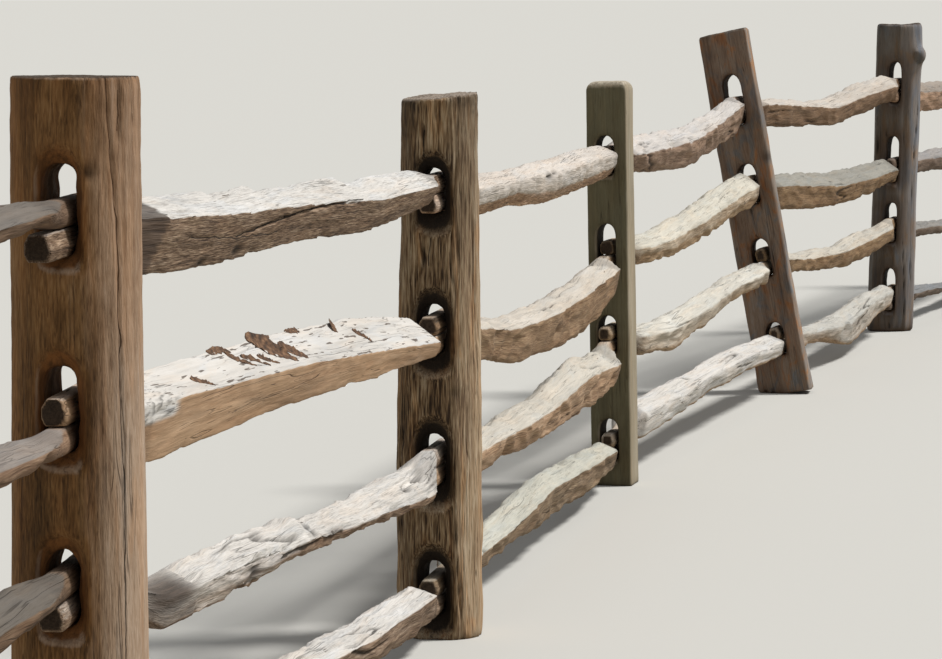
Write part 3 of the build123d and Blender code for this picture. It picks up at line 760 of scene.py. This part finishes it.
def woodMaterial(name, finish, isRail):
    look = {**woodFinish, **finish}
    shading = Shading(bpy.data.materials.new(name))
    crackShadeTone, stainTone = tone(look["crackShadeTone"]), tone(look["stainTone"])
    grain = shading.read("grain", "Vector")
    rough = shading.read("rough", "Fac")
    broad = shading.noise(grain, look["broadPitch"], 3.0)
    streak = shading.noise(grain, look["streakPitch"], 4.0, 0.6, 0.1)
    fibre = shading.noise(grain, look["fibrePitch"], 2.0, 0.6)
    fleck = shading.noise(grain, look["fleckPitch"], 1.5, 0.5)
    mottle = shading.noise(grain, look["mottlePitch"], 4.0, 0.6, 0.8)
    fine = shading.times(shading.swing(fibre, 1.0), rough)

    # fresh wood and weathered wood, and where each is seen: the weather mask also paints tops and the sun lamp's
    # side paler as painted light
    contrast = shading.plus(0.3, shading.times(rough, 0.7))
    strand = shading.times(shading.swing(streak, look["streak"]), contrast)
    body = shading.plus(shading.plus(0.5, shading.swing(broad, look["broad"])), strand)
    body = shading.plus(body, shading.times(fine, look["fibre"]))
    wood = shading.ramp(body, look["woodStops"], look["wood"])
    pale = shading.plus(look["silverMiddle"], shading.swing(broad, look["silverSwing"]))
    pale = shading.plus(pale, shading.swing(streak, look["silverSwing"]))
    pale = shading.plus(pale, shading.times(fine, look["silverFine"]))
    silver = shading.ramp(pale, look["silverStops"], look["silver"])
    if isRail:
        wood = shading.mix(1.0, wood, shading.read("tint", "Vector"), "MULTIPLY")
        silver = shading.mix(1.0, silver, shading.read("pale", "Vector"), "MULTIPLY")
    bare = shading.plus(shading.read("weatherAndLight", "Fac"), shading.swing(streak, look["patchiness"]))
    bare = shading.plus(bare, shading.swing(broad, look["patchiness"]))
    bare = shading.spread(bare, look["silverFrom"], look["silverTo"])
    colour = shading.mix(bare, wood, silver)

    # mottles, flecks and bits of bark
    warm = shading.spread(mottle, *look["warmShown"], 0.0, look["warm"])
    cool = shading.spread(mottle, *look["coolShown"], look["cool"], 0.0)
    colour = shading.darker(colour, warm, look["warmTone"])
    colour = shading.darker(colour, cool, look["coolTone"])
    flecked = shading.times(shading.spread(fleck, *look["fleckShown"], 0.0, look["fleck"]), rough)
    flecked = shading.times(flecked, shading.spread(bare, 0.0, 1.0, 1.0, 0.5))
    colour = shading.darker(colour, flecked, look["fleckTone"])
    if isRail:
        flake = shading.noise(grain, look["flakePitch"], 2.0, 0.5)
        flake = shading.plus(flake, shading.times(shading.read("flakes", "Fac"), look["flakeGain"]))
        flake = shading.spread(flake, *look["flakeShown"])
        colour = shading.mix(shading.times(flake, look["flakeDepth"]), colour, stainTone)

    # cracks and hollows painted dark as painted shade, stains with some painted shade, and cut ends
    split = shading.lines(grain, look["splits"])
    hair = shading.lines(grain, look["hairs"])
    seam = drawnCracks(shading, look, fibre)
    for crack, depth in ((split, look["splitDepth"]), (hair, look["hairDepth"]), (seam, look["seamDepth"])):
        colour = shading.mix(shading.times(crack, depth), colour, crackShadeTone)
    darkStain = tone([look["stainShade"] * value for value in look["stainTone"]])
    # the stain colour also paints the shade on the axe's facet and round the mouths
    stained = shading.mix(shading.spread(streak, 0.35, 0.65), darkStain, stainTone)
    colour = shading.mix(shading.read("stainAndShade", "Fac"), colour, stained)
    rings = shading.noise(grain, look["ringPitch"], 4.0, 0.7)
    cut = shading.darker(tone(look["cutTone"]), shading.spread(rings, 0.35, 0.65), look["ringTone"])
    colour = shading.mix(shading.read("cutEnd", "Fac"), colour, cut)
    hollowShade = shading.times(shading.read("hollowShade", "Fac"), look["hollowShadeDepth"])
    colour = shading.mix(hollowShade, colour, crackShadeTone)

    shares = look["inBump"]
    height = shading.plus(shading.times(streak, shares["streak"]), shading.times(fine, shares["fine"]))
    height = shading.minus(height, shading.times(split, shares["split"]))
    height = shading.minus(height, shading.times(hair, shares["hair"]))
    shading.bumped(shading.minus(height, seam), look["bump"], look["bumpHeight"])
    shading.give(shading.shader, "Base Color", colour)
    shading.give(shading.shader, "Roughness", look["roughness"])
    shading.give(shading.shader, "Specular IOR Level", look["specular"])
    return shading.owner


postFinish = {
    "woodStops": (0.3, 0.44, 0.56, 0.7), "silverStops": (0.3, 0.44, 0.56, 0.7), "silverFrom": 0.1,
    "silverTo": 0.95, "patchiness": 0.5, "broadPitch": (0.40, 0.06), "streakPitch": (0.16, 0.010),
    "fibrePitch": (0.04, 0.0028), "fleckPitch": (0.03, 0.0035), "broad": 0.5, "streak": 0.5, "fibre": 0.8,
    "fleck": 0.6, "hairDepth": 0.4, "bump": 0.6,
}
postFinishes = {
    "post_1": {
        "wood": ((70, 50, 36), (120, 92, 68), (146, 116, 88), (170, 142, 114)),
        "silver": ((120, 98, 78), (164, 142, 120), (182, 162, 140), (198, 182, 162)),
        "stainTone": (96, 66, 42)},
    "post_2": {
        "woodStops": (0.25, 0.42, 0.58, 0.75), "silverStops": (0.25, 0.42, 0.58, 0.75),
        "wood": ((70, 50, 30), (114, 82, 49), (150, 111, 70), (178, 138, 95)),
        "silver": ((134, 104, 82), (172, 144, 120), (188, 162, 138), (204, 180, 158)),
        "broadPitch": (0.35, 0.07), "streakPitch": (0.20, 0.014), "fibrePitch": (0.028, 0.0034),
        "fleckPitch": (0.03, 0.004), "broad": 0.8, "streak": 0.4, "fibre": 0.9, "fleck": 0.9,
        "stainTone": (156, 106, 62), "hairDepth": 0.25, "warm": 0.3, "cool": 0.25},
    "post_3": {
        "woodStops": (0.27, 0.42, 0.58, 0.74), "silverStops": (0.27, 0.42, 0.58, 0.74),
        "wood": ((62, 47, 33), (124, 99, 72), (162, 136, 104), (202, 178, 146)),
        "silver": ((110, 86, 66), (170, 142, 113), (196, 170, 139), (212, 192, 164)),
        "streakPitch": (0.10, 0.0075), "fibrePitch": (0.06, 0.0034), "fleckPitch": (0.05, 0.004),
        "broad": 0.7, "streak": 0.85, "fibre": 1.2, "fleck": 0.9, "stainTone": (52, 42, 32),
        "cutTone": (176, 162, 148), "bump": 0.9, "warm": 0.6},
    "post_4": {
        "wood": ((80, 76, 58), (108, 102, 80), (124, 118, 94), (148, 140, 114)),
        "silver": ((120, 108, 88), (156, 144, 122), (170, 158, 136), (188, 178, 158)),
        "fibre": 0.5, "fleck": 0.4, "stainTone": (70, 60, 46), "cutTone": (206, 196, 176), "bump": 0.3},
    "post_5": {
        "wood": ((84, 62, 50), (128, 106, 90), (150, 130, 114), (168, 158, 150)),
        "silver": ((104, 88, 76), (138, 122, 110), (154, 140, 128), (172, 160, 150)),
        "stainTone": (96, 66, 44), "streakPitch": (0.35, 0.02), "mottlePitch": (0.13, 0.05), "warm": 1.0,
        "cool": 1.0, "warmTone": (1.32, 0.90, 0.60), "coolTone": (0.72, 0.92, 1.18), "streak": 0.4},
    # painted shade: post_6's tones, its silver most, are darker for the shade that falls on it
    "post_6": {
        "wood": ((72, 60, 52), (106, 96, 86), (122, 114, 106), (136, 132, 130)),
        "silver": ((98, 92, 90), (136, 130, 128), (152, 146, 144), (172, 162, 156)),
        "stainTone": (92, 68, 50), "streakPitch": (0.4, 0.025), "mottlePitch": (0.2, 0.06), "warm": 0.7,
        "cool": 0.9, "streak": 0.3},
    "post_7": {
        "wood": ((70, 54, 44), (118, 98, 80), (140, 122, 104), (162, 148, 134)),
        "silver": ((104, 90, 80), (140, 126, 114), (160, 146, 134), (180, 168, 156))},
}


def makeFence():
    for number in range(1, len(postPlaces) + 1):
        finish = {**postFinish, **postFinishes[f"post_{number}"]}
        makePost(number, woodMaterial(f"post{number}Wood", finish, False))
    print("posts made")
    for bay in bayCells:
        bayMaterial = woodMaterial(f"bay{bay}Wood", {}, True)
        for level in range(1, railsInBay + 1):
            makeRail(bay, level, bayMaterial)
    print("rails made")


makeFence()

# Bark left on the second rail. narrowing, ragged and least: how far a flake's width falls to its far end,
# how much it varies, and its least share, hinge: where across the flake the lift begins,
# spot: along and across the rail, size: long and wide, turn in degrees,
# lift: how far the edge away from the path has curled up
barkLook = {
    "thick": 0.0016, "cells": (18, 7), "narrowing": 0.7, "ragged": 0.35, "least": 0.12, "hinge": -0.1,
    "stops": (0.3, 0.5, 0.7), "tones": ((50, 36, 27), (100, 73, 53), (146, 112, 84)), "patternScale": 90.0,
    "bump": 0.6, "bumpHeight": 0.002, "roughness": 0.9,
}
barkFlakes = [
    {"spot": (1.31, -0.012), "size": (0.16, 0.046), "turn": -26, "lift": 0.022},
    {"spot": (1.42, -0.028), "size": (0.10, 0.026), "turn": -24, "lift": 0.010},
    {"spot": (1.06, -0.010), "size": (0.10, 0.014), "turn": -24, "lift": 0.005},
    {"spot": (1.14, -0.020), "size": (0.10, 0.012), "turn": -22, "lift": 0.004},
    {"spot": (1.22, -0.026), "size": (0.08, 0.012), "turn": -20, "lift": 0.003},
    {"spot": (1.00, 0.018), "size": (0.13, 0.020), "turn": -6, "lift": 0.008},
    {"spot": (1.38, 0.020), "size": (0.08, 0.020), "turn": 6, "lift": 0.010},
    {"spot": (1.62, 0.022), "size": (0.10, 0.018), "turn": -4, "lift": 0.006},
    {"spot": (1.95, 0.012), "size": (0.07, 0.022), "turn": 16, "lift": 0.014},
    {"spot": (2.10, -0.020), "size": (0.08, 0.012), "turn": -20, "lift": 0.004},
    {"spot": (0.70, -0.030), "size": (0.09, 0.011), "turn": -16, "lift": 0.003},
]


def barkMaterial():
    shading = Shading(bpy.data.materials.new("barkBrown"))
    spots = shading.add("ShaderNodeTexCoord").outputs["Object"]
    sockets = {"Vector": spots, "Scale": barkLook["patternScale"], "Detail": 4.0}
    grain = shading.add("ShaderNodeTexNoise", {}, sockets).outputs["Fac"]
    shading.give(shading.shader, "Base Color", shading.ramp(grain, barkLook["stops"], barkLook["tones"]))
    shading.give(shading.shader, "Roughness", barkLook["roughness"])
    shading.bumped(grain, barkLook["bump"], barkLook["bumpHeight"])
    return shading.owner


def layFlake(vert, flake, heightAt):
    # wide at its near end and ragged, narrow at the other; it lies on the rail up to the lifted edge
    along, across = vert.co.x, vert.co.y
    length, width = flake["size"]
    ragged = barkLook["ragged"] * noise.noise((along * 9, across * 4, flake["spot"][0] * 40))
    taper = 1 - barkLook["narrowing"] * (along + 0.5) + ragged
    taper = max(taper * (1 - 0.8 * abs(2 * along) ** 4), barkLook["least"])
    turned = Matrix.Rotation(math.radians(flake["turn"]), 3, "Z")
    flat = turned @ Vector((along * length, across * width * taper, 0)) + Vector((*flake["spot"], 0))
    lifted = max(across - barkLook["hinge"], 0) / (0.5 - barkLook["hinge"])
    vert.co = (flat.x, flat.y, heightAt(flat.x, flat.y) + flake["lift"] * lifted ** 2 * taper)


def makeBark(rail, place):
    points, normals = surfaceOf(rail.data)
    toRail = np.array(place.inverted())
    above = points[normals[:, 2] > 0.2] @ toRail[:3, :3].T + toRail[:3, 3]
    tree = kdtree.KDTree(len(above))
    for index, (x, y, z) in enumerate(above.tolist()):
        tree.insert((x, y, 0), index)
    tree.balance()

    def heightAt(x, y):
        return above[tree.find((x, y, 0))[1], 2]

    bark = bmesh.new()
    longCells, wideCells = barkLook["cells"]
    for flake in barkFlakes:
        grid = bmesh.ops.create_grid(bark, x_segments=longCells, y_segments=wideCells, size=0.5)
        for vert in grid["verts"]:
            layFlake(vert, flake, heightAt)
    grown = bmesh.ops.extrude_face_region(bark, geom=bark.faces[:])["geom"]
    upper = [item for item in grown if isinstance(item, bmesh.types.BMVert)]
    bmesh.ops.translate(bark, verts=upper, vec=(0, 0, barkLook["thick"]))
    bmesh.ops.recalc_face_normals(bark, faces=bark.faces)
    mesh = bpy.data.meshes.new("bark")
    bark.to_mesh(mesh)
    bark.free()
    mesh.transform(place)
    for polygon in mesh.polygons:
        polygon.use_smooth = True
    mesh.materials.append(barkMaterial())
    piece = bpy.data.objects.new("bay_2_rail_2_bark", mesh)
    scene.collection.objects.link(piece)
    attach(piece, "root")


makeBark(bpy.data.objects["bay_2_rail_2_wood"], railMatrix(2))
print("bark made")

# Stage, light and camera. floorForLight: what the floor's bounce sees, sky and skyTint: the world's light
# on the wood, backdrop: what is seen over the floor's far edge; angles in degrees, lens in millimetres
stageLook = {"floor": (212, 211, 206), "floorForLight": (152, 147, 134), "reach": 4000.0,
             "backdrop": (222, 220, 214), "sky": 0.30, "skyTint": (0.96, 0.98, 1.0)}
sunLook = {"strength": 3.0, "azimuth": -64.0, "height": 56.0, "spread": 13.0, "tint": (1.0, 0.98, 0.95)}
cameraLook = {"place": (-12.30, -2.273, 1.545), "tilt": 85.2, "turn": -77.41, "lens": 150.0, "sensor": 36.0,
              "clip": (0.1, 12000.0)}


def seenDirectly(shading):
    # 1 for what the camera sees itself, or in a gloss or through glass
    path = shading.add("ShaderNodeLightPath").outputs
    seen = shading.plus(path["Is Camera Ray"], path["Is Glossy Ray"])
    return shading.math("ADD", seen, path["Is Transmission Ray"], clamp=True)


def makeFloor():
    ground = bmesh.new()
    bmesh.ops.create_grid(ground, x_segments=1, y_segments=1, size=stageLook["reach"])
    mesh = bpy.data.meshes.new("floor")
    ground.to_mesh(mesh)
    ground.free()
    floor = bpy.data.objects.new("floor", mesh)
    scene.collection.objects.link(floor)
    shading = Shading(bpy.data.materials.new("paleFloor"))
    colour = shading.mix(seenDirectly(shading), tone(stageLook["floorForLight"]), tone(stageLook["floor"]))
    shading.give(shading.shader, "Base Color", colour)
    shading.give(shading.shader, "Roughness", 1.0)
    shading.give(shading.shader, "Specular IOR Level", 0.0)
    mesh.materials.append(shading.owner)
    floor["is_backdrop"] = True


def makeSky():
    scene.world = bpy.data.worlds.new("studio")
    shading = Shading(scene.world, "Background")
    light = (*[stageLook["sky"] * share for share in stageLook["skyTint"]], 1)
    colour = shading.mix(seenDirectly(shading), light, tone(stageLook["backdrop"]))
    shading.give(shading.shader, "Color", colour)


def makeSun():
    lamp = bpy.data.lights.new("sun", "SUN")
    lamp.energy = sunLook["strength"]
    lamp.angle = math.radians(sunLook["spread"])
    lamp.color = sunLook["tint"]
    azimuth, height = math.radians(sunLook["azimuth"]), math.radians(sunLook["height"])
    level = math.cos(height)
    toSun = Vector((math.cos(azimuth) * level, math.sin(azimuth) * level, math.sin(height)))
    sun = bpy.data.objects.new("sun", lamp)
    sun.rotation_euler = toSun.to_track_quat("Z", "Y").to_euler()
    scene.collection.objects.link(sun)


def makeCamera():
    lens = bpy.data.cameras.new("camera")
    lens.lens = cameraLook["lens"]
    lens.sensor_width = cameraLook["sensor"]
    lens.clip_start, lens.clip_end = cameraLook["clip"]
    camera = bpy.data.objects.new("camera", lens)
    camera.location = cameraLook["place"]
    camera.rotation_euler = (math.radians(cameraLook["tilt"]), 0, math.radians(cameraLook["turn"]))
    scene.collection.objects.link(camera)
    scene.camera = camera


makeFloor()
makeSky()
makeSun()
makeCamera()
scene.view_settings.view_transform = "Standard"
print("stage ready")

triangles = {piece.name: sum(len(face.vertices) - 2 for face in piece.data.polygons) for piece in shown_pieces()}
print("triangles:", sum(triangles.values()), "most in one piece:", max(triangles.values()))
